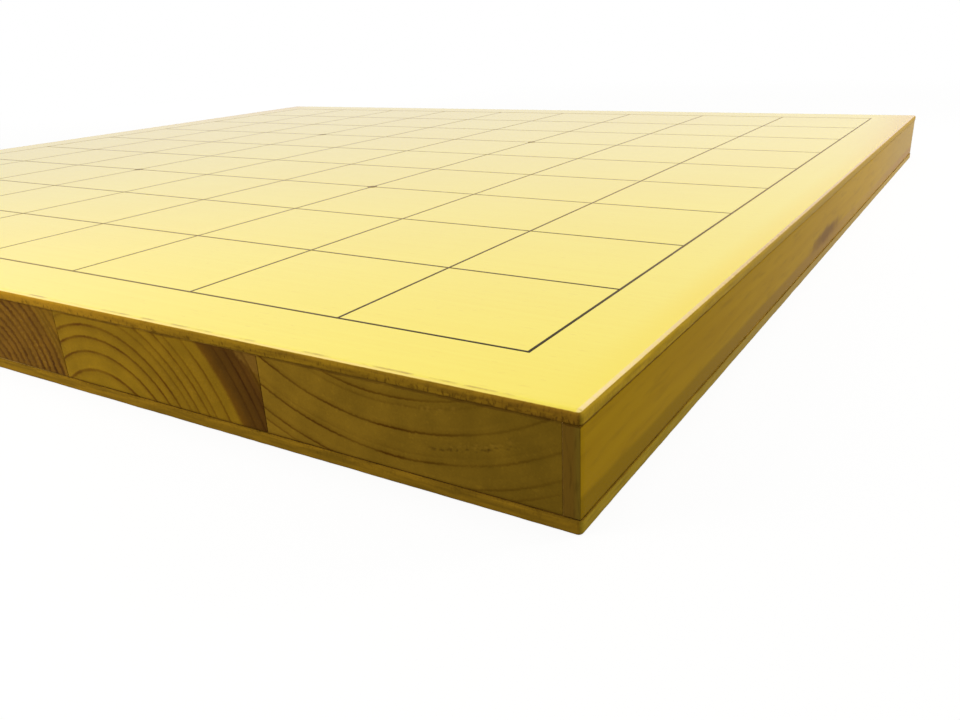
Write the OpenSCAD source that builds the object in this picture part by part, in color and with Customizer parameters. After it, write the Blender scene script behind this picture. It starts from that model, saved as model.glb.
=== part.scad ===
/* [Board] */
// Length of the board, along the direction of play
board_length = 360; // [345:1:380]
// Width of the board, across the direction of play
board_width = 330; // [315:1:350]
// Height of the playing face above the table
board_thickness = 18; // [12:0.5:30]

/* [Face sheets] */
// Thickness of the upper sheet, which carries the playing field
top_sheet = 1.9; // [1.5:0.1:4]
// Thickness of the lower sheet
bottom_sheet = 2.2; // [1.5:0.1:4]
// Radius of the easing along the upper rim
top_easing = 0.9; // [0.2:0.1:1.4]
// Radius of the easing along the lower rim
bottom_easing = 0.4; // [0.1:0.1:1]
// Radius of the upright corners of both sheets
corner_radius = 0.8; // [0.2:0.1:3]

/* [Core] */
// Width of a full stave; the last one takes what is left
stave_width = 53.5; // [35:0.5:90]
// Thickness of the strip that closes each end of the core
strip_thickness = 2.5; // [1.5:0.1:8]
// Distance that the core lies behind the rim of the sheets
core_recess = 0.2; // [0.05:0.05:0.6]
// Thickness of a line of glue
glue_thickness = 0.15; // [0.05:0.05:0.4]
// Distance that the glue lies behind the face of the core
glue_recess = 0.15; // [0.05:0.05:0.5]

/* [Playing field] */
// Squares along each side of the field
squares = 9; // [7:1:9]
// Length of a square, along the direction of play
square_length = 36.5; // [33:0.1:38]
// Width of a square, across the direction of play
square_width = 33.3; // [30:0.1:34]
// Width of a lacquer line
line_width = 0.6; // [0.3:0.05:1.2]
// Height that the lacquer stands above the upper sheet
line_height = 0.08; // [0.04:0.01:0.2]
// Diameter of a star dot
star_diameter = 3; // [2:0.1:5]
// Squares between the rim of the field and a star dot
star_inset = 3; // [1:1:3]

/* [Hidden] */
$fn = 72;
core_height = board_thickness - top_sheet - bottom_sheet - 2 * glue_thickness;
core_bottom = bottom_sheet + glue_thickness;
core_length = board_length - 2 * core_recess;
core_width = board_width - 2 * core_recess;
glue_length = core_length - 2 * glue_recess;
glue_width = core_width - 2 * glue_recess;
strip_x = core_length / 2 - strip_thickness;
stave_pitch = stave_width + glue_thickness;
stave_count = max(2, round(2 * strip_x / stave_pitch));
field_length = squares * square_length;
field_width = squares * square_width;

// Right side of stave i, counted from the right end of the board
function stave_right(i) = strip_x - glue_thickness - (i - 1) * stave_pitch;

// Left side of stave i: the last one reaches the glue of the left strip
function stave_left(i) = i < stave_count ? stave_right(i) - stave_width : -strip_x + glue_thickness;

// A bar's outline with its two upper corners rounded, standing on the X axis
module eased_outline(width, height, radius) {
    translate([-width / 2, 0]) square([width, height - radius]);
    translate([-width / 2 + radius, 0]) square([width - 2 * radius, height]);
    for (side = [-1, 1]) translate([side * (width / 2 - radius), height - radius]) circle(r = radius);
}

// A sheet with eased upper rim and rounded upright corners, lying on z = 0
module eased_sheet(thickness, easing) {
    radius = min(easing, thickness);
    intersection() {
        linear_extrude(thickness) sheet_plan();
        rotate([90, 0, 90]) linear_extrude(board_length, center = true)
            eased_outline(board_width, thickness, radius);
        rotate([90, 0, 0]) linear_extrude(board_width, center = true)
            eased_outline(board_length, thickness, radius);
    }
}

// The rounded rectangle that both sheets fill
module sheet_plan() {
    square([board_length - 2 * corner_radius, board_width], center = true);
    square([board_length, board_width - 2 * corner_radius], center = true);
    for (x = [-1, 1], y = [-1, 1])
        translate([x * (board_length / 2 - corner_radius), y * (board_width / 2 - corner_radius)])
            circle(r = corner_radius);
}

// A block of the core's height from x_left to x_right, centred on the X axis
module core_block(x_left, x_right, width) {
    translate([x_left, -width / 2, core_bottom]) cube([x_right - x_left, width, core_height]);
}

module top_board() {
    color("#f3de7c") translate([0, 0, board_thickness - top_sheet]) eased_sheet(top_sheet, top_easing);
}

module bottom_board() {
    color("#a9852f") translate([0, 0, bottom_sheet]) mirror([0, 0, 1]) eased_sheet(bottom_sheet, bottom_easing);
}

module right_end_strip() {
    color("#a8812c") core_block(strip_x, strip_x + strip_thickness, core_width);
}

module left_end_strip() {
    color("#a8812c") core_block(-strip_x - strip_thickness, -strip_x, core_width);
}

module core_stave(i) {
    color(i % 2 == 1 ? "#a17a28" : "#8a6124") core_block(stave_left(i), stave_right(i), core_width);
}

// The film of glue under or over the whole core, its lower face at height z
module flat_glue(z) {
    color("#4a3212") translate([-glue_length / 2, -glue_width / 2, z])
        cube([glue_length, glue_width, glue_thickness]);
}

module upper_glue_line() {
    flat_glue(board_thickness - top_sheet - glue_thickness);
}

module lower_glue_line() {
    flat_glue(bottom_sheet);
}

// One upright film on the right of every stave, and one on the left of the last
module upright_glue_lines() {
    color("#4a3212") {
        for (i = [1 : stave_count]) core_block(stave_right(i), stave_right(i) + glue_thickness, glue_width);
        core_block(-strip_x, -strip_x + glue_thickness, glue_width);
    }
}

// The four star dots, each where two lines cross
module at_star_dots() {
    for (x = [-1, 1], y = [-1, 1])
        translate([x * (field_length / 2 - star_inset * square_length),
                   y * (field_width / 2 - star_inset * square_width), board_thickness])
            children();
}

module grid_lines() {
    color("#2b2216") difference() {
        union() {
            for (i = [0 : squares]) {
                translate([-(field_length + line_width) / 2, i * square_width - (field_width + line_width) / 2,
                           board_thickness])
                    cube([field_length + line_width, line_width, line_height]);
                translate([i * square_length - (field_length + line_width) / 2, -(field_width + line_width) / 2,
                           board_thickness])
                    cube([line_width, field_width + line_width, line_height]);
            }
        }
        at_star_dots() cylinder(d = star_diameter, h = 2 * line_height, center = true);
    }
}

module star_points() {
    color("#2b2216") at_star_dots() cylinder(d = star_diameter, h = line_height);
}

top_board();
bottom_board();
right_end_strip();
left_end_strip();
for (i = [1 : stave_count])
    core_stave(i);
upper_glue_line();
lower_glue_line();
upright_glue_lines();
grid_lines();
star_points();
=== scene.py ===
import math
from functools import partial
import bmesh
import bpy
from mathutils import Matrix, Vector, noise


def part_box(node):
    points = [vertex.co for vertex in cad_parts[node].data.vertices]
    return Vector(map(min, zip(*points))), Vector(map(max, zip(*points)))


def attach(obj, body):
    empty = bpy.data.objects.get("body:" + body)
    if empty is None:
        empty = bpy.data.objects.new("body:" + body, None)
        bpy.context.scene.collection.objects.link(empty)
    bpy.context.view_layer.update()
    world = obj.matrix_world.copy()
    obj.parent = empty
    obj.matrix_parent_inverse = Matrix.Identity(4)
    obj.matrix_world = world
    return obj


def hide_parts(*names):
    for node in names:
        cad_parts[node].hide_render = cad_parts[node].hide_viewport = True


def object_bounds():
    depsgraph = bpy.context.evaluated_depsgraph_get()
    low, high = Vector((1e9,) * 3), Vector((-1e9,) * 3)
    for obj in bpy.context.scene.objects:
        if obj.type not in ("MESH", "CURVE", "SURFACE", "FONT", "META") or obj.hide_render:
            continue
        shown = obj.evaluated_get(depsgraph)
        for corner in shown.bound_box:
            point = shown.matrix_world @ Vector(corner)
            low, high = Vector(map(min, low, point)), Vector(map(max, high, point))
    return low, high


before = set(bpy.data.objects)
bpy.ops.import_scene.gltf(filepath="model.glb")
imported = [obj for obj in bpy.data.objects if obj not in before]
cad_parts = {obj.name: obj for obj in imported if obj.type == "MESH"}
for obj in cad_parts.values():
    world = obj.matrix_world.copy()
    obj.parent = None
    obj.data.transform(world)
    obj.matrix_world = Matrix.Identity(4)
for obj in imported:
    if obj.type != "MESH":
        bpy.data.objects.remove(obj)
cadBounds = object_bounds()
scene = bpy.context.scene
mm = 0.001
# the upper corner that lies nearest the camera
nearCorner = Vector((cadBounds[1][0], cadBounds[0][1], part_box("top_board")[1].z))


def hexColour(text):
    # sRGB hex to the linear values that Blender takes
    parts = [int(text[i:i + 2], 16) / 255 for i in (1, 3, 5)]
    return tuple(p / 12.92 if p <= 0.04045 else ((p + 0.055) / 1.055) ** 2.4 for p in parts) + (1.0,)


def addNode(tree, kind, *values, output=None, **options):
    # Adds one node and gives back one output. The values go into the node's live inputs in order. An option
    # with a capital is an input, its name without spaces; any other is a setting. "#rrggbb" is a colour.
    node = tree.nodes.new(kind if kind.startswith(("Geometry", "NodeGroup")) else "ShaderNode" + kind)
    if kind == "Mix":
        node.data_type = "RGBA"  # every mix in this file is of colours
    for name, value in options.items():
        if name[0].islower():
            setattr(node, name, value)
    live = [s for s in node.inputs if s.enabled]
    pairs = list(zip(live, values))
    pairs += [(s, options[s.name.replace(" ", "")]) for s in live if s.name.replace(" ", "") in options]
    for socket, value in pairs:
        if isinstance(value, bpy.types.NodeSocket):
            tree.links.new(value, socket)
        else:
            isHex = isinstance(value, str) and value.startswith("#")
            socket.default_value = hexColour(value) if isHex else value
    return node.outputs[output] if output else next((s for s in node.outputs if s.enabled), None)


def newFinish(name):
    # an empty material, addNode bound to its tree, and the place on the object
    material = bpy.data.materials.new(name)
    material.use_nodes = True
    material.node_tree.nodes.clear()
    add = partial(addNode, material.node_tree)
    return material, add, add("TexCoord", output="Object")


def closeFinish(add, colour, gloss, **inputs):
    # gloss holds the roughness and what else sets the sheen
    add("OutputMaterial", add("BsdfPrincipled", colour, **gloss, **inputs))


def uneven(add, place, size, low, high, least=0.0, most=1.0, detail=2.0, seed=0.0, **more):
    # noise with patches of a real size in millimetres, one for all axes or three, cut between low and high
    scale = 1.0
    if isinstance(size, tuple):
        place = add("Mapping", place, Location=(0, 0, seed), Scale=[1 / (s * mm) for s in size])
    else:
        scale = 1 / (size * mm)
    patches = add("TexNoise", place, Scale=scale, Detail=detail, **more)
    return add("MapRange", patches, low, high, least, most)


def newThing(name, data):
    thing = bpy.data.objects.new(name, data)
    scene.collection.objects.link(thing)
    return thing


def newShape(name, inputs):
    # an empty Geometry Nodes tree with a named input for each entry, addNode bound to it, and those inputs
    tree = bpy.data.node_groups.new(name, "GeometryNodeTree")
    for label, value in inputs.items():
        kind = {int: "Int", float: "Float"}.get(type(value), "Vector")
        tree.interface.new_socket(label, in_out="INPUT", socket_type="NodeSocket" + kind)
    tree.interface.new_socket("Shape", in_out="OUTPUT", socket_type="NodeSocketGeometry")
    return tree, partial(addNode, tree), tree.nodes.new("NodeGroupInput").outputs


def bakeShape(name, tree, inputs, sharpAngle):
    # runs the tree once on an empty mesh and keeps the plain result
    piece = newThing(name, bpy.data.meshes.new(name))
    modifier = piece.modifiers.new(tree.name, "NODES")
    modifier.node_group = tree
    for item in tree.interface.items_tree:
        if item.in_out == "INPUT":
            modifier[item.identifier] = inputs[item.name]
    bpy.context.view_layer.update()
    result = piece.evaluated_get(bpy.context.evaluated_depsgraph_get())
    mesh = bpy.data.meshes.new_from_object(result)
    piece.modifiers.remove(modifier)
    piece.data = mesh
    mesh.name = name
    while mesh.materials[0] is None:
        mesh.materials.pop(index=0)  # the slot that the primitive came with
    mesh.polygons.foreach_set("material_index", [0] * len(mesh.polygons))
    mesh.set_sharp_from_angle(angle=math.radians(sharpAngle))
    return piece


def register(piece, node):
    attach(piece, "root")
    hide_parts(node)


# Camera

camera = dict(
    place=(220.16 * mm, -248.47 * mm, 62.34 * mm),
    turn=(67.006, 2.402, 31.275),  # degrees about X, Y and Z
    lens=31.33, sensor=36,  # millimetres
    shift=(-0.0130, 0.0174),  # the frame is cropped a little off the lens axis
    nearest=5 * mm, farthest=20,
)


def makeCamera():
    data = bpy.data.cameras.new("camera")
    data.lens = camera["lens"]
    data.sensor_width = camera["sensor"]
    data.sensor_fit = "HORIZONTAL"
    data.shift_x, data.shift_y = camera["shift"]
    data.clip_start, data.clip_end = camera["nearest"], camera["farthest"]
    data.dof.use_dof = False
    thing = newThing("camera", data)
    thing.location = camera["place"]
    thing.rotation_euler = [math.radians(a) for a in camera["turn"]]
    scene.camera = thing


# Floor, world and lamps

stage = dict(
    floorSize=6.0,
    floorDrop=0.05 * mm,  # keeps the floor clear of the underside
    floorTone="#908E88",  # what the floor gives back to the board
    whiteShare=0.92,  # the rest of what the camera sees of the floor carries the shadow
    shadowReach=0.32,  # past this distance from the middle the floor goes over to plain white
    windowInset=2 * mm,  # the floor under the board is clear up to this distance from its outline
    ambient=0.44,
    ambientTone="#FFFDF8",
    mirroredTone="#F7F3FF",  # how the room looks in a reflection
)

# where each lamp stands in metres, its width, and the level that it adds where it points
lamps = {
    "overhead": dict(place=(0.25, -0.12, 1.0), target=(0.15, -0.12, 0.018), width=0.7, level=0.43,
                     tone="#FFFDF6"),
    "leftFront": dict(place=(-0.02, -0.33, 0.13), target=(0.07, -0.165, 0.01), width=0.14, level=0.60,
                      tone="#FFF8EA"),
    "farRight": dict(place=(0.48, 0.19, 0.11), target=(0.18, 0.08, 0.01), width=0.18, level=0.92,
                     tone="#FFFAF4"),
    "backLeft": dict(place=(-0.55, 0.45, 0.14), target=(-0.18, 0.165, 0.01), width=0.30, level=0.50,
                     tone="#FFFAF0"),
}


def makeLamp(name, lamp):
    data = bpy.data.lights.new(name, "AREA")
    data.shape = "DISK"
    data.size = lamp["width"]
    data.color = hexColour(lamp["tone"])[:3]
    reach = Vector(lamp["target"]) - Vector(lamp["place"])
    data.energy = lamp["level"] * math.pi ** 2 * reach.length_squared  # a white card facing it reads level
    thing = newThing(name, data)
    thing.location = lamp["place"]
    thing.rotation_euler = reach.to_track_quat("-Z", "Y").to_euler()
    thing.visible_camera = False
    thing.visible_glossy = False  # reflections show the plain white room only


def seenDirectly(add):
    # 1 where the camera, a reflection or a refraction looks, 0 for light that lands on the board
    ray = add("LightPath").node.outputs
    either = add("Math", ray["Is Camera Ray"], ray["Is Glossy Ray"], operation="MAXIMUM")
    return add("Math", either, ray["Is Transmission Ray"], operation="MAXIMUM")


def makeWorld():
    world = bpy.data.worlds.new("studio")
    world.use_nodes = True
    world.node_tree.nodes.clear()
    scene.world = world
    add = partial(addNode, world.node_tree)
    tone = add("Mix", add("LightPath", output="Is Glossy Ray"), "#FFFFFF", stage["mirroredTone"])
    soft = add("Background", stage["ambientTone"], stage["ambient"])
    white = add("Background", tone, 1.0)
    add("OutputWorld", add("MixShader", seenDirectly(add), soft, white))


def makeFloor():
    material, add, place = newFinish("whitePaper")
    seen = seenDirectly(add)
    paper = add("BsdfDiffuse", add("Mix", seen, stage["floorTone"], "#FFFFFF"))
    glow = add("Emission", "#FFFFFF", 1.0)
    away = add("VectorMath", place, operation="LENGTH")
    share = add("MapRange", away, stage["shadowReach"], stage["shadowReach"] * 2, stage["whiteShare"], 1.0)
    share = add("Math", seen, share, operation="MULTIPLY")
    lit = add("MixShader", share, paper, glow)
    # the underside can be looked at through the floor, and the window lets light reach it
    edge = [c - stage["windowInset"] for c in cadBounds[1][:2]]
    share = add("VectorMath", place, (1 / edge[0], 1 / edge[1], 0), operation="MULTIPLY")
    share = add("SeparateXYZ", add("VectorMath", share, operation="ABSOLUTE")).node.outputs
    share = add("Math", share["X"], share["Y"], operation="MAXIMUM")
    window = add("Math", share, 1.0, operation="LESS_THAN")
    under = add("Math", add("NewGeometry", output="Backfacing"), window, operation="MAXIMUM")
    add("OutputMaterial", add("MixShader", under, lit, add("BsdfTransparent")))

    half = stage["floorSize"] / 2
    corners = ((-half, -half), (half, -half), (half, half), (-half, half))
    mesh = bpy.data.meshes.new("floor")
    mesh.from_pydata([(x, y, -stage["floorDrop"]) for x, y in corners], [], [(0, 1, 2, 3)])
    mesh.materials.append(material)
    newThing("floor", mesh)


def makeStage():
    makeWorld()
    makeFloor()
    for name, lamp in lamps.items():
        makeLamp(name, lamp)


# Face sheets: swept from the rounded plan, with an eased rim on the outer side

sheets = {
    "top_board": dict(
        slot="face_sheet", outward=1,  # +1 where the eased rim is on top
        easing=0.9, corner=0.8, arris=0.14,  # millimetres
        easingDrift=0.05,  # the easing was rubbed by hand, so it varies by this share
        edgeDrift=0.05,  # the edge wanders inwards by up to this many millimetres
        bareSteps=5,  # steps of the easing that stay bare
        spacing=0.34, steps=9, seed=3.0,
    ),
    "bottom_board": dict(
        slot="under_sheet", outward=-1, easing=0.4, corner=0.8, arris=0.10,
        easingDrift=0.2, edgeDrift=0.05, bareSteps=6, spacing=0.42, steps=6, seed=11.0,
    ),
}
sheetCut = dict(
    skirt=1.2,  # millimetres that the fine mesh runs in from the rim, above and below
    flankRows=4, cornerSteps=7,
    arrisDrift=0.8,  # share by which the arris beside the glue varies
    longWave=9, midWave=2.5, fineWave=0.9,  # lengths of the rim's unevenness in millimetres
    edgeWave=1.3, edgeWaveHigh=1.5,  # and of the edge's, along it and up it
)


def planStations(half, spacing):
    # once round the rounded rectangle: the side's or the corner's place from -1 to 1, and the way it faces
    corners = [Vector(c) for c in ((1, -1), (1, 1), (-1, 1), (-1, -1))]
    steps = sheetCut["cornerSteps"]
    stations = []
    for k, corner in enumerate(corners):
        start = 90 * (k - 1)
        stations += [(corner, start + 90 * i / (steps - 1)) for i in range(steps)]
        count = int(2 * half[(k + 1) % 2] / spacing)
        for i in range(1, count):
            t = i / count
            stations.append((corner * (1 - t) + corners[(k + 1) % 4] * t, start + 90))
    return stations


def sheetRows(sheet, thickness):
    # going outwards: inset, height above the glue, share of the easing's drift, share of the arris's drift
    easing, arris, skirt = sheet["easing"], sheet["arris"], sheetCut["skirt"]
    rows = [(skirt, 0, 0, 0), (arris, 0, 0, 1), (arris * 0.3, arris * 0.35, 0, 1), (0, arris, 0, 0)]
    upright, count = thickness - easing, sheetCut["flankRows"]
    rows += [(0, arris + (upright - arris) * i / count, 0, 0) for i in range(1, count + 1)]
    flank = len(rows) - 1
    for i in range(1, sheet["steps"] + 1):
        turn = math.radians(90 * i / sheet["steps"])
        rows.append((easing * (1 - math.cos(turn)), upright + easing * math.sin(turn), 1, 0))
    return rows + [(easing + skirt, thickness, 0, 0)], flank


def sheetMesh(name, sheet):
    low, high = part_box(name)
    half = ((high.x - low.x) / 2 / mm, (high.y - low.y) / 2 / mm)
    thickness = (high.z - low.z) / mm
    glueFace = low.z if sheet["outward"] > 0 else high.z
    stations = planStations(half, sheet["spacing"])
    rows, flank = sheetRows(sheet, thickness)
    verts = []
    for side, angle in stations:
        out = Vector((math.cos(math.radians(angle)), math.sin(math.radians(angle))))
        place = Vector((side.x * half[0], side.y * half[1], sheet["seed"]))
        slow = noise.noise(place / sheetCut["longWave"]) + 0.6 * noise.noise(place / sheetCut["midWave"])
        fine = noise.noise(place / sheetCut["fineWave"])
        easingChange = sheet["easingDrift"] * slow
        arrisChange = sheetCut["arrisDrift"] * (fine + slow)
        for inset, height, easingShare, arrisShare in rows:
            inset *= 1 + easingShare * easingChange + arrisShare * arrisChange
            if easingShare:
                height = thickness - (thickness - height) * (1 + easingChange)
            elif arrisShare:
                height *= 1 + arrisChange
            lift = Vector((0, 0, height / sheetCut["edgeWaveHigh"]))
            upDown = noise.noise(place / sheetCut["edgeWave"] + lift)
            inset += sheet["edgeDrift"] * (0.5 + 0.25 * slow + 0.25 * upDown) * (0 < height < thickness)
            inset = max(inset, 0)
            radius = max(sheet["corner"] - inset, 0.05)
            centre = Vector((half[0] - inset - radius, half[1] - inset - radius))
            point = Vector((side.x * centre.x, side.y * centre.y)) + out * radius
            level = glueFace + sheet["outward"] * min(max(height, 0), thickness) * mm
            verts.append((point.x * mm, point.y * mm, level))

    count, depth = len(stations), len(rows)
    faces, slots = [], []
    for i in range(count):
        here, there = i * depth, (i + 1) % count * depth
        for r in range(depth - 1):
            faces.append((here + r, there + r, there + r + 1, here + r + 1))
            slots.append(1 if r < flank + sheet["bareSteps"] else 0)
    faces.append([i * depth for i in reversed(range(count))])
    faces.append([i * depth + depth - 1 for i in range(count)])
    slots += [1, 0]
    mesh = bpy.data.meshes.new(name)
    mesh.from_pydata(verts, [], faces)
    mesh.polygons.foreach_set("material_index", slots)
    if sheet["outward"] < 0:
        mesh.flip_normals()
    mesh.shade_smooth()
    mesh.set_sharp_from_angle(angle=math.radians(40))
    return mesh


# Rotary-cut veneer, stained lemon yellow under clear gloss lacquer: an even face with hardly any grain and
# a wet-looking sheen that takes in the room at low angles.
veneer = {
    "top_board": dict(finish="lacqueredYellowVeneer", tones=("#F6E64D", "#F4E146"), pore="#D9B632",
                      gloss=dict(Roughness=0.16, IOR=1.5)),
    "bottom_board": dict(finish="plainYellowVeneer", tones=("#D8B63A", "#CBA42E"), pore="#A98420",
                         gloss=dict(Roughness=0.35, IOR=1.5)),
}
veneerGrain = dict(streaks=(60, 0.9, 10), pores=(2.4, 0.35, 10), clouds=45)  # millimetres
# the rim's tints: pool and farPool are stain, cream, pink and tan a painted highlight on the eased rim,
# scratch a scratch
rimTints = dict(
    pool="#F5DC08", farPool="#E9C60A", cream="#FCE192", pink="#F9DFA2", tan="#CDA856", scratch="#A87E26",
)
# where each tint (stain, painted highlight, scratch) starts and is full: the first four count from the rim,
# minus is inside; the next three are places along it; the last counts from the scratch's line
rimRuns = dict(
    pool=(-8 * mm, -1.2 * mm), farPool=(-16 * mm, -2 * mm),
    cream=(-0.8 * mm, -0.45 * mm), pink=(-1.05 * mm, -0.75 * mm),
    nearEnd=(-160 * mm, -80 * mm), farEnd=(20 * mm, 150 * mm), fromCorner=(178 * mm, 145 * mm),
    scratch=(0.3 * mm, 0.1 * mm),
)
scratchInset = 0.9 * mm


def veneerFinish(name):
    wood = veneer[name]
    material, add, place = newFinish(wood["finish"])
    grain = [1 / (s * mm) for s in veneerGrain["streaks"]]
    streaks = add("TexNoise", add("Mapping", place, Scale=grain), Scale=1.0, Detail=3.0)
    clouds = add("TexNoise", place, Scale=1 / (veneerGrain["clouds"] * mm), Detail=2.0)
    tone = add("MapRange", add("Math", streaks, clouds, operation="ADD"), 0.7, 1.3)
    colour = add("Mix", tone, *wood["tones"])
    pores = uneven(add, place, veneerGrain["pores"], 0.68, 0.8, 0.0, 0.35, detail=1.0)
    colour = add("Mix", pores, colour, wood["pore"])
    if name == "top_board":
        colour = rimStainHighlightAndScratch(add, place, colour)
    closeFinish(add, colour, wood["gloss"])
    return material


def rimStainHighlightAndScratch(add, place, colour):
    # stain pooled inside the rim, a pale strip on it that is a painted highlight, and a broken scratch along
    # the long sides
    xyz = add("SeparateXYZ", place).node.outputs
    inside = add("VectorMath", place, operation="ABSOLUTE")
    inside = add("VectorMath", inside, tuple(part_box("top_board")[1]), operation="SUBTRACT")
    fromRim = add("SeparateXYZ", inside).node.outputs
    along = add("MapRange", xyz["Y"], *rimRuns["nearEnd"])
    pool = add("MapRange", fromRim["X"], *rimRuns["pool"], interpolation_type="SMOOTHSTEP")
    poolShare = add("MapRange", along, 0.0, 0.6, 0.2, 1.0)
    farPool = add("MapRange", fromRim["X"], *rimRuns["farPool"])
    farShare = add("MapRange", xyz["Y"], *rimRuns["farEnd"])
    # painted highlight: a cream strip on the long sides' rim, weaker towards the right end, and a pink one
    # on the short sides' rim that turns tan away from the front
    highlightLong = add("MapRange", fromRim["Y"], *rimRuns["cream"], 0.0, 0.8)
    highlightShare = add("MapRange", xyz["X"], *rimRuns["fromCorner"], 0.1, 1.0)
    highlightShort = add("MapRange", fromRim["X"], *rimRuns["pink"])
    dotted = uneven(add, place, 0.8, 0.35, 0.6, 0.6, 1.0)
    highlightShort = add("Math", highlightShort, dotted, operation="MULTIPLY")
    away = add("Math", fromRim["Y"], scratchInset, operation="ADD")
    scratch = add("MapRange", add("Math", away, operation="ABSOLUTE"), *rimRuns["scratch"])
    broken = uneven(add, place, 5, 0.45, 0.65, 0.0, 0.75, detail=4.0)
    for tint, share, weaker in (("pool", pool, poolShare), ("farPool", farPool, farShare),
                                ("cream", highlightLong, highlightShare), ("pink", highlightShort, None),
                                ("tan", highlightShort, along), ("scratch", scratch, broken)):
        if weaker:
            share = add("Math", share, weaker, operation="MULTIPLY")
        colour = add("Mix", share, colour, rimTints[tint])
    return colour


# The sheets' bare edge: matt golden brown. The long sides are end grain with dark specks that crowd towards
# the right corner, the short sides are smoother long grain, and stain soaked in beside the glue.
# end, long: the paler and the deeper tone of each kind of side; crowd: how strongly the specks show
# gold, cornerRed, stain: the most that each tint covers; gold is painted light, paler to the left, and
# cornerRed is redder and darker at the near corner, its darkening a painted shade
# longFar: the short sides' greyer, bluer tone towards the far end, a painted reflection
edgeWood = {
    "top_board": dict(finish="bareUpperEdge", end=("#A17D1F", "#85651B"), long=("#B99829", "#A48623"),
                      longFar="#A68A42", gold=0.75, cornerRed=0.35, crowd=1.0, stain=0.4),
    "bottom_board": dict(finish="bareLowerEdge", end=("#A07B20", "#83651B"), long=("#AC912B", "#988025"),
                         longFar="#A48B4C", gold=0.1, cornerRed=0.0, crowd=0.35, stain=0.25),
}
edgeTints = dict(gold="#B88A26", cornerRed="#84591D", speck="#412A0C", glueStain="#54380F", wrap="#DDBE50")
# where each change starts and is full: the first three are places on X and far is on Y; specksThin and stain
# are millimetres from the glue, and wrap is a depth below the face
edgeRuns = dict(
    gold=(112 * mm, 70 * mm), cornerRed=(155 * mm, 179 * mm), crowding=(135 * mm, 179 * mm),
    far=(-135 * mm, -30 * mm), specksThin=(0.7, 1.4), stain=(0.42, 0.22), wrap=(0.34 * mm, 0.24 * mm),
)
# blotches and specks: width and height in millimetres, the noise levels where they start and are full, and
# how dark they get
edgeSpecks = ((1.3, 1.0, 0.55, 0.69, 0.45), (0.35, 0.9, 0.56, 0.68, 0.6))
edgeGloss = dict(Roughness=0.35, IOR=1.45, SpecularIORLevel=0.003)


def edgeFinish(name):
    wood, outward = edgeWood[name], sheets[name]["outward"]
    bottom, top = [corner.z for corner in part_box(name)]
    glueFace = bottom if outward > 0 else top
    material, add, place = newFinish(wood["finish"])
    xyz = add("SeparateXYZ", place).node.outputs
    facing = add("SeparateXYZ", add("NewGeometry", output="Normal")).node.outputs

    lying = uneven(add, place, (7, 7, 0.6), 0.35, 0.65, detail=3.0)
    end = add("Mix", lying, *wood["end"])
    # painted light and shade: the long sides go paler gold towards the left and redder and darker towards
    # the near corner
    for tint in ("gold", "cornerRed"):
        share = add("MapRange", xyz["X"], *edgeRuns[tint], 0.0, wood[tint])
        end = add("Mix", share, end, edgeTints[tint])
    crowding = add("MapRange", xyz["X"], *edgeRuns["crowding"])
    parts = []
    for width, tall, low, high, most in edgeSpecks:
        part = add("Mapping", place, Scale=[1 / (s * mm) for s in (width, width, tall)])
        part = add("TexNoise", part, Scale=1.0, Detail=3.0)
        part = add("Math", crowding, 0.055, part, operation="MULTIPLY_ADD")
        parts.append(add("MapRange", part, low, high, 0.0, most * wood["crowd"]))
    specks = add("Math", *parts, operation="MAXIMUM")
    fromGlue = add("Math", xyz["Z"], glueFace, operation="SUBTRACT")
    fromGlue = add("Math", fromGlue, outward / mm, operation="MULTIPLY")
    thinner = add("MapRange", fromGlue, *edgeRuns["specksThin"], 1.0, 0.35)
    specks = add("Math", specks, thinner, operation="MULTIPLY")
    end = add("Mix", specks, end, edgeTints["speck"])

    longGrain = add("Mix", lying, *wood["long"])
    mottle = add("Math", specks, 0.3, operation="MULTIPLY")
    longGrain = add("Mix", mottle, longGrain, edgeTints["speck"])
    # painted reflection: the short sides turn greyer and bluer towards the far end
    far = add("MapRange", xyz["Y"], *edgeRuns["far"])
    longGrain = add("Mix", far, longGrain, wood["longFar"])
    onShort = add("MapRange", add("Math", facing["X"], operation="ABSOLUTE"), 0.5, 0.8)
    colour = add("Mix", onShort, end, longGrain)

    # stain beside the glue, and the lacquer that crept over the upper rim
    ragged = add("TexNoise", place, Scale=1 / (0.8 * mm), Detail=2.0)
    fromGlue = add("Math", ragged, 0.3, fromGlue, operation="MULTIPLY_ADD")
    stain = add("MapRange", fromGlue, *edgeRuns["stain"], 0.0, wood["stain"])
    colour = add("Mix", stain, colour, edgeTints["glueStain"])
    if name == "top_board":
        depth = add("Math", top, xyz["Z"], operation="SUBTRACT")
        depth = add("Math", ragged, 0.1 * mm, depth, operation="MULTIPLY_ADD")
        wrap = add("MapRange", depth, *edgeRuns["wrap"])
        thinning = add("MapRange", far, 0.0, 1.0, 1.0, 0.3)
        wrap = add("Math", wrap, thinning, operation="MULTIPLY")
        colour = add("Mix", wrap, colour, edgeTints["wrap"])
    bump = add("Bump", 0.5, 0.04 * mm, Height=specks, invert=True)
    closeFinish(add, colour, edgeGloss, Normal=bump)
    return material


def makeSheets():
    for name, sheet in sheets.items():
        piece = newThing(name.replace("board", "sheet"), sheetMesh(name, sheet))
        piece.data.materials.append(veneerFinish(name))
        piece.data.materials.append(edgeFinish(name))
        register(piece, name)
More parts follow.
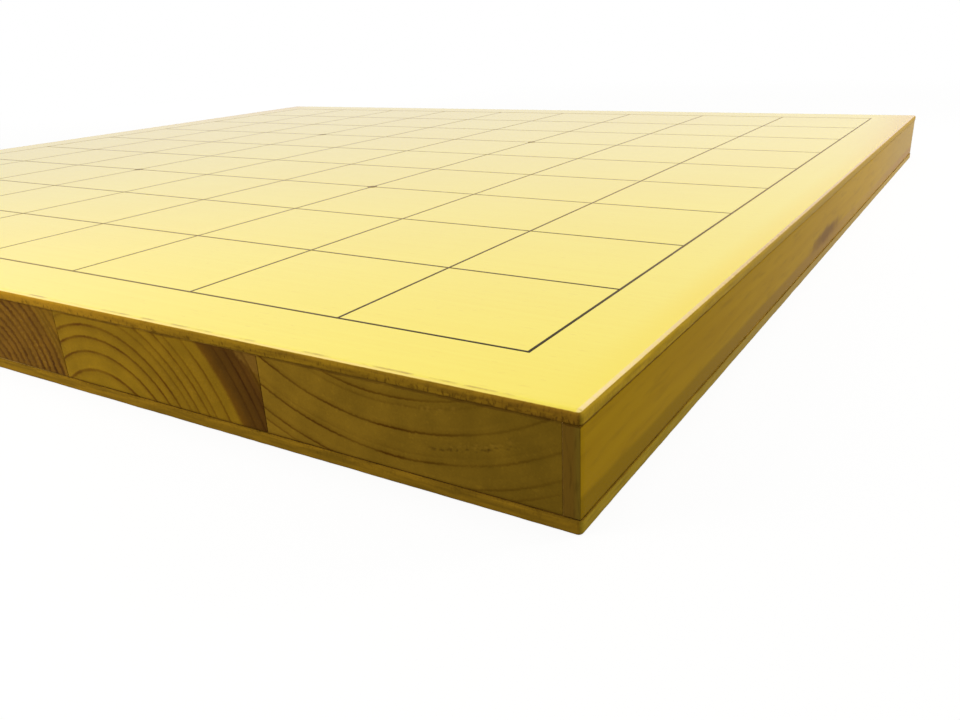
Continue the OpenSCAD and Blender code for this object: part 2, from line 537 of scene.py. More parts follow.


# Core staves: each end shows the growth rings as they were cut

# pith: where the tree's centre lay, in millimetres across and up; drift: how far it moves to the back end
# squash: how much flatter the rings lie; span: the distances from the pith that rings and tones lie between
# rings: distance of each late-wood line from the pith, how dark it is, and its width where that isn't thick
# tones: wood colour from the pith outwards; lateTint: what the late wood takes off it
# ragged: how uneven the lines are; fade: from where to where along X they die away, and to what share
# turn: where along X a tint multiplies the wood, a painted shade darker towards the near corner; patch:
# another tone past a point, one way
# tears: middle and half width of a band, its run along X, and how strong; negative strengths look hollow
staves = {
    "core_stave_1": dict(
        pith=(149.8, 55.2), drift=(4.0, -3.0), squash=0.942, span=(36.0, 60.0), thick=0.30,
        rings=[(38.6, 0.35), (41.0, 0.85), (42.1, 0.3), (46.0, 1.0), (49.4, 0.2), (50.5, 0.95), (54.1, 0.9),
               (55.8, 0.7)],
        tones=[(36, "#92711F"), (60, "#92711F")], lateTint="#A68B62",
        fade=(150, 166, 0.45), turn=(126, 176, "#DDE0DF"),
        tears=[(48.2, 0.35, 155, 172, -1.0), (47.7, 0.45, 158, 172, 0.8), (42.1, 0.4, 150, 163, 0.8)],
    ),
    "core_stave_2": dict(
        pith=(80.8, -11.1), drift=(-3.0, 2.0), squash=1.0, span=(13.0, 51.0), thick=0.42,
        rings=[(16.7, 1.0, 0.6), (20.4, 0.9), (23.3, 0.95), (25.7, 1.0, 0.5), (28.1, 0.5), (29.9, 0.8),
               (32.2, 0.8), (33.9, 0.6), (36.8, 0.7), (42.4, 0.5), (44.5, 0.8), (46.2, 0.5), (47.9, 0.7)],
        tones=[(13, "#9C7A19"), (26, "#957318"), (38.9, "#957318"), (39.7, "#6F4B11"), (41.3, "#5F4010"),
               (47.0, "#603F13"), (48.3, "#765615"), (51, "#765615")], lateTint="#AB8F66",
        patch=((117.9, 15.9), (0.53, 0.85), "#815F22"),
        tears=[(27.0, 0.6, 96, 104, 0.5), (31.0, 0.5, 100, 107, 0.6), (35.0, 0.8, 106, 112, 0.4)],
    ),
    "core_stave_3": dict(
        pith=(43.3, 0.3), drift=(3.0, 2.0), squash=0.927, span=(0.0, 33.0), thick=0.8, ragged=1.3,
        rings=[(3.4, 0.7), (5.6, 0.8), (7.5, 0.8), (9.6, 0.9), (11.5, 0.9), (13.4, 0.9), (15.4, 0.8),
               (17.5, 0.9), (19.4, 0.8), (21.5, 1.0), (23.5, 0.8), (25.1, 0.4), (26.3, 0.6), (28.2, 0.4),
               (30.1, 0.5)],
        tones=[(0, "#825C19"), (23.8, "#825C19"), (24.6, "#896518"), (33, "#896518")], lateTint="#A08E5C",
        tears=[(18.5, 0.5, 55, 68, 0.7), (20.4, 0.4, 58, 69, 0.6), (24.4, 0.4, 62, 69, 0.6),
               (16.4, 0.6, 44, 64, 0.6)],
    ),
    "core_stave_4": dict(
        pith=(-16.0, 61.0), drift=(-4.0, 3.0), squash=0.95, span=(40.0, 70.0), thick=0.3,
        rings=[(44.2, 0.7), (47.6, 0.9), (51.8, 1.0), (54.9, 0.9), (57.3, 0.8), (60.2, 0.8), (62.4, 0.7),
               (65.8, 0.6)],
        tones=[(40, "#8B6A1A"), (70, "#836318")], lateTint="#B49A70",
        tears=[(53.2, 0.5, -24, -14, -0.8)],
    ),
    "core_stave_5": dict(
        pith=(-71.0, -7.5), drift=(3.0, -3.0), squash=0.97, span=(6.0, 40.0), thick=0.34,
        rings=[(10.1, 0.8), (13.4, 0.9), (16.2, 0.9), (18.6, 0.8), (21.3, 0.9), (23.5, 0.8), (26.4, 0.8),
               (28.8, 0.7), (31.5, 0.7), (34.9, 0.6)],
        tones=[(6, "#8A6819"), (27, "#8A6819"), (28, "#684616"), (40, "#604013")], lateTint="#AE926A",
        tears=[(22.4, 0.8, -60, -50, 0.5)],
    ),
    "core_stave_6": dict(
        pith=(-104.0, 44.0), drift=(-3.0, 3.0), squash=0.93, span=(24.0, 60.0), thick=0.3,
        rings=[(28.6, 0.8), (32.1, 0.9), (34.8, 0.9), (37.7, 0.9), (41.9, 0.9), (45.1, 0.8), (48.3, 0.8),
               (51.6, 0.7), (54.7, 0.6)],
        tones=[(24, "#8D6C1B"), (60, "#866519")], lateTint="#B49A70",
        tears=[(39.6, 0.6, -122, -112, -0.8)],
    ),
    "core_stave_7": dict(
        pith=(-168.0, -14.0), drift=(2.0, 3.0), squash=1.0, span=(12.0, 44.0), thick=0.4,
        rings=[(17.3, 0.8), (19.9, 0.9), (22.6, 0.9), (25.9, 0.9), (28.4, 0.8), (31.3, 0.8), (34.6, 0.7),
               (38.2, 0.6)],
        tones=[(12, "#7C571C"), (30, "#7C571C"), (31, "#896819"), (44, "#896819")], lateTint="#B2906C",
        tears=[(24.0, 0.6, -160, -152, 0.5)],
    ),
}

# what all staves share, in millimetres
staveCut = dict(
    cell=0.27,  # spacing of the mesh across the end grain
    arris=0.12,  # the sanded edge of each end, above and below
    sideArris=0.02,  # and at the joints between staves
    relief=0.03,  # hard late wood stands this much above the soft early wood after sanding
    tear=0.10,  # depth of a torn fibre
    fibre=(0.9, 5, 0.45),  # and its size
    slowWarp=0.45, slowWarpSize=22.0,  # the rings stray by this much over this length
    ripple=0.10, rippleSize=1.8,
    stainReach=(0.30, 0.05),  # how far stain soaked in beside the upper and the lower glue
    flake="#A8832E", hollow="#4A300E", glueStain="#5A3C12",
    gloss=dict(Roughness=0.5, IOR=1.45, SpecularIORLevel=0.02),
)


def ringPoints(stave):
    # going outwards, wood darkens over the last millimetre of a ring and then drops back at once
    first, last = stave["span"]
    points, before = [(first, 0.0)], first
    for radius, dark, *wide in stave["rings"]:
        half = (wide[0] if wide else stave["thick"]) / 2
        start = max(radius - 3 * half - 0.5, before + 0.1)
        points += [(start, 0.0), (radius - half - 0.12, 0.3 * dark), (radius - half * 0.5, dark),
                   (radius + half * 0.5, dark), (radius + half + 0.1, 0.0)]
        before = radius + half + 0.1
    points.append((last, 0.0))
    return [((r - first) / (last - first), dark) for r, dark in points]


def lateWood(add, stave, radius):
    # share of the span that a distance from the pith lies at, and how dark the late wood is there
    share = add("MapRange", radius, *stave["span"])
    late = add("FloatCurve", 1.0, share)
    points = ringPoints(stave)
    curve = late.node.mapping.curves[0]
    while len(curve.points) < len(points):
        curve.points.new(0.5, 0.5)
    for point, spot in zip(curve.points, points):
        point.location = spot
        point.handle_type = "VECTOR"
    late.node.mapping.update()
    return share, late


def staveShape(name, stave):
    low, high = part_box(name)
    size = high - low
    inputs = {
        "Size": size, "Centre": (low + high) / 2,
        "Cells Across": round(size.x / (staveCut["cell"] * mm)) + 1,
        "Cells Up": round(size.z / (staveCut["cell"] * mm)) + 1,
        "Pith": Vector((stave["pith"][0] * mm, 0, stave["pith"][1] * mm)),
        "Pith Drift": Vector((stave["drift"][0] * mm, 0, stave["drift"][1] * mm)),
        "Squash": Vector((stave["squash"], 0, 1)),
        "Slow Warp": staveCut["slowWarp"], "Ripple": staveCut["ripple"],
        "Arris": staveCut["arris"] * mm, "Side Arris": staveCut["sideArris"] * mm,
        "Relief": staveCut["relief"] * mm, "Tear": staveCut["tear"] * mm,
        "Seed": float(name[-1]),
    }
    tree, add, given = newShape(name + "Rings", inputs)
    cube = add("GeometryNodeMeshCube", given["Size"], given["Cells Across"], 2, given["Cells Up"])
    block = add("GeometryNodeTransform", cube, Translation=given["Centre"])
    place = add("GeometryNodeInputPosition")
    xyz = add("SeparateXYZ", place).node.outputs
    side = add("Math", xyz["Y"], operation="SIGN")  # -1 on the front end, +1 on the back

    # distance from the pith, which leans a little along the stave
    away = add("Math", side, 0.5, 0.5, operation="MULTIPLY_ADD")
    lean = add("VectorMath", given["Pith Drift"], away, operation="SCALE")
    pith = add("VectorMath", given["Pith"], lean, operation="ADD")
    arm = add("VectorMath", place, pith, operation="SUBTRACT")
    arm = add("VectorMath", arm, given["Squash"], operation="MULTIPLY")
    radius = add("Math", add("VectorMath", arm, operation="LENGTH"), 1 / mm, operation="MULTIPLY")
    for label, width in (("Slow Warp", staveCut["slowWarpSize"]), ("Ripple", staveCut["rippleSize"])):
        wobble = add("TexNoise", place, given["Seed"], Scale=1 / (width * mm), Detail=1.0,
                     noise_dimensions="4D")
        wobble = add("Math", wobble, 0.5, operation="SUBTRACT")
        wobble = add("Math", wobble, 2.0, operation="MULTIPLY")
        radius = add("Math", wobble, given[label], radius, operation="MULTIPLY_ADD")
    late = lateWood(add, stave, radius)[1]

    # torn fibres lie in short runs that follow a ring
    torn = None
    for middle, halfWidth, left, right, strength in stave["tears"]:
        band = (radius, middle, halfWidth, 0.5, "SMOOTHSTEP")
        run = (xyz["X"], (left + right) / 2 * mm, (right - left) / 2 * mm, 0.6, "LINEAR")
        shares = []
        for reading, centre, half, core, blend in (band, run):
            off = add("Math", add("Math", reading, centre, operation="SUBTRACT"), operation="ABSOLUTE")
            shares.append(add("MapRange", off, half, half * core, interpolation_type=blend))
        zone = add("Math", *shares, operation="MULTIPLY")
        zone = add("Math", zone, strength, operation="MULTIPLY")
        torn = add("Math", torn, zone, operation="ADD") if torn else zone
    stretched = add("VectorMath", place, [1 / (s * mm) for s in staveCut["fibre"]], operation="MULTIPLY")
    fibres = add("TexNoise", stretched, given["Seed"], Scale=1.0, Detail=1.0, noise_dimensions="4D")
    fibres = add("MapRange", fibres, 0.50, 0.62)
    torn = add("Math", torn, fibres, operation="MULTIPLY")

    # how far each point of an end lies below the plane of the sanded face
    depth = add("Math", 1.0, late, operation="SUBTRACT")
    depth = add("Math", depth, given["Relief"], operation="MULTIPLY")
    pit = add("Math", torn, operation="ABSOLUTE")
    depth = add("Math", pit, given["Tear"], depth, operation="MULTIPLY_ADD")
    fromCentre = add("VectorMath", place, given["Centre"], operation="SUBTRACT")
    fromCentre = add("VectorMath", fromCentre, operation="ABSOLUTE")
    halfSize = add("VectorMath", given["Size"], 0.5, operation="SCALE")
    rim = add("SeparateXYZ", add("VectorMath", halfSize, fromCentre, operation="SUBTRACT")).node.outputs
    for axis, label in (("X", "Side Arris"), ("Z", "Arris")):
        onRim = add("Math", rim[axis], 0.01 * mm, operation="LESS_THAN")
        depth = add("Math", onRim, given[label], depth, operation="MULTIPLY_ADD")
    inward = add("Math", side, -1.0, operation="MULTIPLY")
    push = add("Math", inward, depth, operation="MULTIPLY")

    for label, value in (("ringRadius", radius), ("tornGrain", torn)):
        block = add("GeometryNodeStoreNamedAttribute", block, Name=label, Value=value,
                    data_type="FLOAT", domain="POINT")
    block = add("GeometryNodeSetPosition", block, Offset=add("CombineXYZ", Y=push))
    block = add("GeometryNodeRealizeInstances", block)
    block = add("GeometryNodeSetMaterial", block, Material=staveFinish(name, stave))
    add("NodeGroupOutput", block)
    return bakeShape(name.replace("core_", ""), tree, inputs, sharpAngle=50)


def glueStain(add, place, name, upper, lower):
    # 1 where stain soaked in beside the glue: an uneven line along the top and a thinner one at the bottom
    low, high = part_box(name)
    height = add("SeparateXYZ", place).node.outputs["Z"]
    ragged = add("TexNoise", place, Scale=1 / (1.1 * mm), Detail=2.0)
    lines = []
    for face, up, width in ((high.z, 1, upper), (low.z, -1, lower)):
        reach = add("Math", ragged, up * 0.3 * mm, height, operation="MULTIPLY_ADD")
        start, full = [face - up * (width - nearer) * mm for nearer in (0.10, 0.25)]
        lines.append(add("MapRange", reach, start, full))
    return add("Math", *lines, operation="MAXIMUM")


# Stained and sealed spruce, sanded across the end grain: a dull golden brown with thin dark late-wood lines
# that come and go, hardly any sheen, and fibres torn out here and there.
def staveFinish(name, stave):
    material, add, place = newFinish("sandedSpruceEnd" + name[-1])
    across = add("SeparateXYZ", place).node.outputs["X"]
    radius = add("Attribute", output="Fac", attribute_name="ringRadius")
    torn = add("Attribute", output="Fac", attribute_name="tornGrain")
    jitter = add("TexNoise", place, Scale=1 / (0.6 * mm), Detail=3.0)
    jitter = add("Math", jitter, 0.5, operation="SUBTRACT")
    radius = add("Math", jitter, stave.get("ragged", 0.4), radius, operation="MULTIPLY_ADD")
    share, late = lateWood(add, stave, radius)
    waning = uneven(add, place, 8, 0.35, 0.6, 0.6, 1.05)
    late = add("Math", late, waning, operation="MULTIPLY")
    if "fade" in stave:
        left, right, rest = stave["fade"]
        fade = add("MapRange", across, left * mm, right * mm, 1.0, rest)
        late = add("Math", late, fade, operation="MULTIPLY")

    tones = add("ValToRGB", share)
    stops = tones.node.color_ramp.elements
    first, last = stave["span"]
    for i, (reach, colour) in enumerate(stave["tones"]):
        spot = (reach - first) / (last - first)
        stop = stops[i] if i < 2 else stops.new(spot)  # a new ramp comes with two
        stop.position, stop.color = spot, hexColour(colour)
    if "patch" in stave:
        (x, z), (aside, up), tint = stave["patch"]
        reach = add("VectorMath", place, (aside, 0, up), operation="DOT_PRODUCT")
        reach = add("Math", jitter, 1.2 * mm, reach, operation="MULTIPLY_ADD")
        start = (x * aside + z * up) * mm
        over = add("MapRange", reach, start - 0.3 * mm, start + 0.3 * mm)
        tones = add("Mix", over, tones, tint)
    # painted shade: the wood is multiplied darker, and a touch more olive, towards the near corner
    if "turn" in stave:
        left, right, tint = stave["turn"]
        cornerShade = add("MapRange", across, left * mm, right * mm)
        tones = add("Mix", cornerShade, tones, tint, blend_type="MULTIPLY")

    # between the lines: soft patches, the grit of the sanding, stripes along the rings, and pale flecks
    light = uneven(add, place, 5, 0.3, 0.7, 0.88, 1.12, detail=3.0)
    grit = uneven(add, place, 0.35, 0.3, 0.7, 0.94, 1.06, detail=3.0)
    stripes = add("TexNoise", radius, Scale=0.8, Detail=3.0, noise_dimensions="1D")
    stripes = add("MapRange", stripes, 0.3, 0.7, 0.975, 1.025)
    flecks = uneven(add, place, 0.7, 0.64, 0.78, 1.0, 1.12, detail=1.0)
    for part in (grit, stripes, flecks):
        light = add("Math", light, part, operation="MULTIPLY")
    colour = add("Mix", late, tones, stave["lateTint"], blend_type="MULTIPLY")
    for sign, most, tint in ((1.0, 0.5, staveCut["flake"]), (-1.0, 0.75, staveCut["hollow"])):
        colour = add("Mix", add("MapRange", torn, 0.0, sign, 0.0, most), colour, tint)
    stain = glueStain(add, place, name, *staveCut["stainReach"])
    patchy = uneven(add, place, 6, 0.38, 0.58, 0.1, 0.55)
    stain = add("Math", stain, patchy, operation="MULTIPLY")
    colour = add("Mix", stain, colour, staveCut["glueStain"])
    colour = add("VectorMath", colour, light, operation="SCALE")
    height = add("TexNoise", place, Scale=1 / (0.5 * mm), Detail=2.0)
    bump = add("Bump", 0.4, 0.02 * mm, Height=height)
    closeFinish(add, colour, staveCut["gloss"], Normal=bump)
    return material


# End strips: long grain along the short sides

# knot: its middle along Y and Z, and half its length and height, in millimetres
strips = {
    "right_end_strip": dict(finish="planedSpruceRight", outward=1, knot=(-13.0, 6.4, 19.0, 2.2), seed=2.0),
    "left_end_strip": dict(finish="planedSpruceLeft", outward=-1, knot=(64.0, 11.0, 11.0, 1.6), seed=7.0),
}
stripCut = dict(
    cell=1.5, rows=16,  # spacing of the mesh along the strip, and cells up its height
    arris=0.14, waviness=0.03, waveLong=18, waveHigh=5, knotDepth=0.05,  # millimetres
)
stripWood = dict(
    pale="#AE8B15", deep="#A07C12", farBrown="#98804A", lowNear="#8F7111", lowFar="#97723F",
    knot="#6C4A22", blotch="#8C6C16", endOlive="#7D6622", endRed="#7B5D1F", endFleck="#3A260C",
    glueStain="#5A3C12", stainReach=(0.25, 0.12),  # millimetres beside the upper and the lower glue
    gloss=dict(Roughness=0.22, IOR=1.45, SpecularIORLevel=0.0025),
)
# where each change starts and is full: four along Y, endOlive from the middle along X, and lowBand in
# millimetres of height
stripRuns = dict(
    farBrown=(50 * mm, 130 * mm), lowFades=(-10 * mm, 35 * mm), lowTurns=(-130 * mm, 60 * mm),
    stainFades=(-125 * mm, -80 * mm), endOlive=(178.7 * mm, 179.4 * mm), lowBand=(6.6, 5.3),
)


def stripMesh(name, strip):
    low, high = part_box(name)
    mesh = bpy.data.meshes.new(name)
    bm = bmesh.new()
    bmesh.ops.create_cube(bm, size=1.0)
    for vert in bm.verts:
        vert.co = Vector([low[i] + (vert.co[i] + 0.5) * (high[i] - low[i]) for i in range(3)])
    middle = (low.x + high.x) / 2
    inner = [e for e in bm.edges if all((v.co.x - middle) * strip["outward"] < 0 for v in e.verts)]
    outer = [e for e in bm.edges if e not in inner]
    bmesh.ops.bevel(bm, geom=outer, offset=stripCut["arris"] * mm, segments=3, profile=0.5,
                    affect="EDGES", clamp_overlap=True)
    # rings of edges across the length and up the height carry the plane's slight waves and the knot
    for axis, count in ((1, int((high.y - low.y) / (stripCut["cell"] * mm))), (2, stripCut["rows"])):
        normal = Vector([i == axis for i in range(3)])
        for i in range(1, count):
            at = normal * (low[axis] + (high[axis] - low[axis]) * i / count)
            everything = list(bm.verts) + list(bm.edges) + list(bm.faces)
            bmesh.ops.bisect_plane(bm, geom=everything, plane_co=at, plane_no=normal)
    knotY, knotZ, knotHalf, knotHigh = [v * mm for v in strip["knot"]]
    for vert in bm.verts:
        if (vert.co.x - middle) * strip["outward"] < 0:
            continue
        along, up = vert.co.y, vert.co.z
        wave = (along / (stripCut["waveLong"] * mm), up / (stripCut["waveHigh"] * mm), strip["seed"])
        fromKnot = ((along - knotY) / knotHalf) ** 2 + ((up - knotZ) / knotHigh) ** 2
        sink = stripCut["waviness"] * (0.5 + 0.5 * noise.noise(Vector(wave)))
        sink += stripCut["knotDepth"] * math.exp(-fromKnot)
        vert.co.x -= strip["outward"] * sink * mm
    bm.normal_update()
    bm.to_mesh(mesh)
    bm.free()
    mesh.shade_smooth()
    mesh.set_sharp_from_angle(angle=math.radians(40))
    return mesh


# Stained and sealed spruce, planed along the grain: olive gold with long soft streaks, a darker band low on
# the face that turns plum brown away from the near corner, and one small knot drawn out along the grain.
# The plum brown of the band and the greyer, bluer far end of the face are painted reflection.
def stripFinish(name, strip):
    material, add, place = newFinish(strip["finish"])
    xyz = add("SeparateXYZ", place).node.outputs
    facing = add("SeparateXYZ", add("NewGeometry", output="Normal")).node.outputs
    seed = strip["seed"]
    streaks = uneven(add, place, (4, 45, 2.2), 0.2, 0.8, detail=4.0, seed=seed, Distortion=0.3)
    colour = add("Mix", streaks, stripWood["pale"], stripWood["deep"])
    spots = uneven(add, place, (4, 11, 1.5), 0.54, 0.74, 0.0, 0.5, detail=3.0, seed=seed)
    colour = add("Mix", spots, colour, stripWood["blotch"])
    # painted reflection: the face turns greyer and bluer towards the far end
    farEnd = add("MapRange", xyz["Y"], *stripRuns["farBrown"], 0.0, 0.5)
    colour = add("Mix", farEnd, colour, stripWood["farBrown"])

    # lower band, wandering a little in height
    wander = add("TexNoise", place, Scale=1 / (40 * mm), Detail=1.0)
    height = add("Math", xyz["Z"], 1 / mm, operation="MULTIPLY")
    height = add("Math", wander, 1.2, height, operation="MULTIPLY_ADD")
    low = add("MapRange", height, *stripRuns["lowBand"], 0.0, 0.85, interpolation_type="SMOOTHSTEP")
    ending = add("MapRange", xyz["Y"], *stripRuns["lowFades"], 1.0, 0.3)
    ending = add("Math", ending, farEnd, operation="ADD")
    low = add("Math", low, ending, operation="MULTIPLY")
    # painted reflection: the low band turns greyer and bluer away from the near corner
    along = add("MapRange", xyz["Y"], *stripRuns["lowTurns"])
    colour = add("Mix", low, colour, add("Mix", along, stripWood["lowNear"], stripWood["lowFar"]))

    # the knot
    knotY, knotZ, knotHalf, knotHigh = [v * mm for v in strip["knot"]]
    knot = add("Mapping", place, Location=(0, -knotY / knotHalf, -knotZ / knotHigh),
               Scale=(0, 1 / knotHalf, 1 / knotHigh))
    ragged = add("TexNoise", place, Scale=1 / (6 * mm), Detail=2.0)
    reach = add("VectorMath", knot, operation="LENGTH")
    reach = add("Math", ragged, 0.8, reach, operation="MULTIPLY_ADD")
    knot = add("MapRange", reach, 1.7, 0.7, 0.0, 0.8, interpolation_type="SMOOTHSTEP")
    colour = add("Mix", knot, colour, stripWood["knot"])

    # the strip's own end grain: reddish beside the stave, olive beyond, a few dark flecks
    onEnd = add("MapRange", add("Math", facing["Y"], operation="ABSOLUTE"), 0.5, 0.9)
    across = add("MapRange", add("Math", xyz["X"], operation="ABSOLUTE"), *stripRuns["endOlive"])
    endTone = add("Mix", across, stripWood["endRed"], stripWood["endOlive"])
    flecks = uneven(add, place, (0.45, 5, 3), 0.52, 0.72, 0.0, 0.3, detail=1.0, seed=seed)
    endTone = add("Mix", flecks, endTone, stripWood["endFleck"])
    colour = add("Mix", onEnd, colour, endTone)
    stain = glueStain(add, place, name, *stripWood["stainReach"])
    waning = add("MapRange", xyz["Y"], *stripRuns["stainFades"], 0.7, 0.1)
    stain = add("Math", stain, waning, operation="MULTIPLY")
    colour = add("Mix", stain, colour, stripWood["glueStain"])
    bump = add("Bump", 0.3, 0.02 * mm, Height=streaks)
    closeFinish(add, colour, stripWood["gloss"], Normal=bump)
    return material


def makeCore():
    for name, stave in staves.items():
        register(staveShape(name, stave), name)
    for name, strip in strips.items():
        piece = newThing(name.replace("_end", ""), stripMesh(name, strip))
        piece.data.materials.append(stripFinish(name, strip))
        register(piece, name)


# Glue lines: the imported films stay, with a finish of their own

# onFront, onRight: millimetres from the near corner, along each face, where the glue begins to take its far
# tone
# atStrips: past this distance from the middle the upright films have another tone, paler, as painted light
glue = {
    "upper_glue_line": dict(finish="stainedUpperGlue", dark="#5A3C12", pale="#7E5A1C", wiped="#AC8634",
                            onFront=15, onRight=35),
    "lower_glue_line": dict(finish="stainedLowerGlue", dark="#44300D", pale="#5E4113", wiped="#E0BC68",
                            onFront=105, onRight=12),
    "upright_glue_lines": dict(finish="stainedUprightGlue", dark="#8E6C22", pale="#A8832E", wiped="#8C6A20",
                               onFront=0, onRight=0, atStrips=(176 * mm, "#C09850")),
}
glueCoat = dict(runs=4, wipedOver=60, gloss=dict(Roughness=0.7, SpecularIORLevel=0.05))  # millimetres


# Hardened wood glue that took up stain and dust: matt dark brown and uneven. The upper and lower films turn
# paler away from the near corner, and the upright films are paler at the strips: painted light that lifts
# the shade in the recessed gaps.
def glueFinish(film):
    material, add, place = newFinish(film["finish"])
    runs = uneven(add, place, glueCoat["runs"], 0.35, 0.65, detail=3.0)
    colour = add("Mix", runs, film["dark"], film["pale"])
    xyz = add("SeparateXYZ", place).node.outputs
    fromRight = add("Math", nearCorner.x, xyz["X"], operation="SUBTRACT")
    fromFront = add("Math", xyz["Y"], nearCorner.y, operation="SUBTRACT")
    # painted light: away from the near corner the upper and lower films take a paler tone that lifts the
    # shade in their recessed gaps
    wiped = [add("MapRange", reach, start * mm, (start + glueCoat["wipedOver"]) * mm)
             for reach, start in ((fromRight, film["onFront"]), (fromFront, film["onRight"]))]
    colour = add("Mix", add("Math", *wiped, operation="MAXIMUM"), colour, film["wiped"])
    # painted light: the upright films are paler where they meet the strips
    if "atStrips" in film:
        beyond, tone = film["atStrips"]
        fromMiddle = add("Math", xyz["X"], operation="ABSOLUTE")
        colour = add("Mix", add("Math", fromMiddle, beyond, operation="GREATER_THAN"), colour, tone)
    closeFinish(add, colour, glueCoat["gloss"])
    return material


def makeGlue():
    for name, film in glue.items():
        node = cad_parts[name]
        node.data.materials.clear()
        node.data.materials.append(glueFinish(film))


# Lacquer lines and star dots

lacquer = dict(
    squares=9, lineWidth=0.6, dotWidth=3.0,  # millimetres
    body=0.4,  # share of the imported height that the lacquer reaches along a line
    step=2.5,  # spacing of the mesh along a line
    arcPoints=9, dotSides=48, dotRings=8,
    dotDrop=0.8, dotFall=6.0,  # share of its height that a dot loses at its edge, and how steeply it falls
    waver=0.02,  # how much a line's edge wanders
    tones=("#362E14", "#433A1E"), rubbed="#9A8048",
    rubbedRun=(30 * mm, 130 * mm),  # distances from the near corner
    gloss=dict(Roughness=0.35, IOR=1.5, SpecularIORLevel=0.03),
)


# Black urushi-like gloss lacquer laid on the face: an olive black, with round shoulders that catch the
# light, rubbed paler away from the near corner.
def lacquerFinish():
    material, add, place = newFinish("blackGlossLacquer")
    cover = add("TexNoise", place, Scale=1 / (3 * mm), Detail=2.0)
    colour = add("Mix", cover, *lacquer["tones"])
    away = add("VectorMath", place, nearCorner, operation="DISTANCE")
    rubbed = add("MapRange", away, *lacquer["rubbedRun"], 0.0, 0.75)
    colour = add("Mix", rubbed, colour, lacquer["rubbed"])
    closeFinish(add, colour, lacquer["gloss"])
    return material


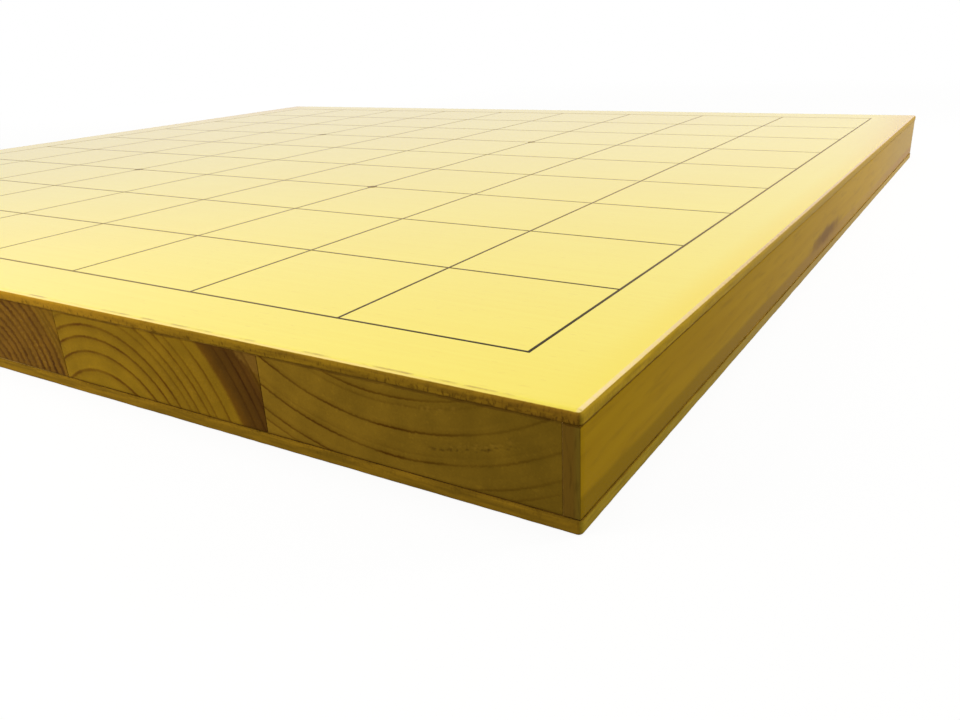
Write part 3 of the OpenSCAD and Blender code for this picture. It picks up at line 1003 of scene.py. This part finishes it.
def lineShape(material):
    low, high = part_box("grid_lines")
    inputs = {
        "Field Length": high.x - low.x, "Field Width": high.y - low.y, "Squares": lacquer["squares"],
        "Line Width": lacquer["lineWidth"] * mm, "Line Height": (high.z - low.z) * lacquer["body"],
        "Base": low.z, "Waver": lacquer["waver"] * mm,
    }
    tree, add, given = newShape("lacquerLines", inputs)
    # a half round profile with its chord on the face
    arc = add("GeometryNodeCurveArc", lacquer["arcPoints"], 0.5, 0.0, math.pi, mode="RADIUS")
    arc = add("GeometryNodeSetSplineCyclic", arc, Cyclic=True)
    across = add("Math", given["Line Width"], -1.0, operation="MULTIPLY")
    up = add("Math", given["Line Height"], -2.0, operation="MULTIPLY")
    profile = add("GeometryNodeTransform", arc, Scale=add("CombineXYZ", across, up, 1.0))
    lines = []
    ways = (("Field Length", "Field Width", 0.0), ("Field Width", "Field Length", math.pi / 2))
    for run, spread, turn in ways:
        half = add("Math", given[run], 0.5, operation="MULTIPLY")
        start = add("CombineXYZ", add("Math", half, -1.0, operation="MULTIPLY"))
        path = add("GeometryNodeCurvePrimitiveLine", start, add("CombineXYZ", half))
        path = add("GeometryNodeResampleCurve", path, Length=lacquer["step"] * mm, mode="LENGTH")
        bar = add("GeometryNodeCurveToMesh", path, profile, FillCaps=True)
        count = add("Math", given["Squares"], 1.0, operation="ADD")
        inner = add("Math", given[spread], given["Line Width"], operation="SUBTRACT")
        gap = add("Math", inner, given["Squares"], operation="DIVIDE")
        first = add("Math", inner, -0.5, operation="MULTIPLY")
        row = add("GeometryNodeMeshLine", count, add("CombineXYZ", Y=first), add("CombineXYZ", Y=gap),
                  mode="OFFSET")
        placed = add("GeometryNodeInstanceOnPoints", row, Instance=bar)
        lines.append(add("GeometryNodeTransform", placed, Rotation=(0, 0, turn)))
    joined = add("GeometryNodeJoinGeometry", lines[1])
    tree.links.new(lines[0], joined.node.inputs[0])
    whole = add("GeometryNodeRealizeInstances", joined)
    place = add("GeometryNodeInputPosition")
    wander = add("TexNoise", place, Scale=1 / (5 * mm), Detail=2.0, output="Color")
    wander = add("VectorMath", wander, (0.5, 0.5, 0.5), operation="SUBTRACT")
    wander = add("VectorMath", wander, (1, 1, 0), operation="MULTIPLY")
    wander = add("VectorMath", wander, given["Waver"], operation="SCALE")
    whole = add("GeometryNodeSetPosition", whole, Offset=wander)
    whole = add("GeometryNodeTransform", whole, Translation=add("CombineXYZ", Z=given["Base"]))
    add("NodeGroupOutput", add("GeometryNodeSetMaterial", whole, Material=material))
    return bakeShape("field_lines", tree, inputs, sharpAngle=60)


def dotShape(material):
    low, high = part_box("star_points")
    width = lacquer["dotWidth"] * mm
    inputs = {
        "Spread": Vector((high.x - low.x - width, high.y - low.y - width, 0)), "Dot Width": width,
        "Dot Height": high.z - low.z, "Base": low.z,
    }
    tree, add, given = newShape("starDots", inputs)
    half = add("Math", given["Dot Width"], 0.5, operation="MULTIPLY")
    disc = add("GeometryNodeMeshCylinder", lacquer["dotSides"], 1, lacquer["dotRings"], half,
               given["Dot Height"], fill_type="TRIANGLE_FAN").node.outputs
    # the top falls away towards its edge
    flat = add("VectorMath", add("GeometryNodeInputPosition"), (1, 1, 0), operation="MULTIPLY")
    share = add("Math", add("VectorMath", flat, operation="LENGTH"), half, operation="DIVIDE")
    fall = add("Math", share, lacquer["dotFall"], operation="POWER")
    drop = add("Math", fall, given["Dot Height"], operation="MULTIPLY")
    drop = add("CombineXYZ", Z=add("Math", drop, -lacquer["dotDrop"], operation="MULTIPLY"))
    dot = add("GeometryNodeSetPosition", disc["Mesh"], disc["Top"], Offset=drop)
    spread = add("SeparateXYZ", given["Spread"]).node.outputs
    grid = add("GeometryNodeMeshGrid", spread["X"], spread["Y"], 2, 2)
    dots = add("GeometryNodeInstanceOnPoints", grid, Instance=dot)
    middle = add("Math", given["Dot Height"], 0.5, given["Base"], operation="MULTIPLY_ADD")
    dots = add("GeometryNodeTransform", dots, Translation=add("CombineXYZ", Z=middle))
    dots = add("GeometryNodeRealizeInstances", dots)
    add("NodeGroupOutput", add("GeometryNodeSetMaterial", dots, Material=material))
    return bakeShape("star_dots", tree, inputs, sharpAngle=60)


def makeLacquer():
    material = lacquerFinish()
    register(lineShape(material), "grid_lines")
    register(dotShape(material), "star_points")


scene.view_settings.view_transform = "Standard"
makeCamera()
makeStage()
print("camera and stage ready")
makeSheets()
print("face sheets ready")
makeCore()
print("core ready")
makeGlue()
makeLacquer()
print("glue and lacquer ready")
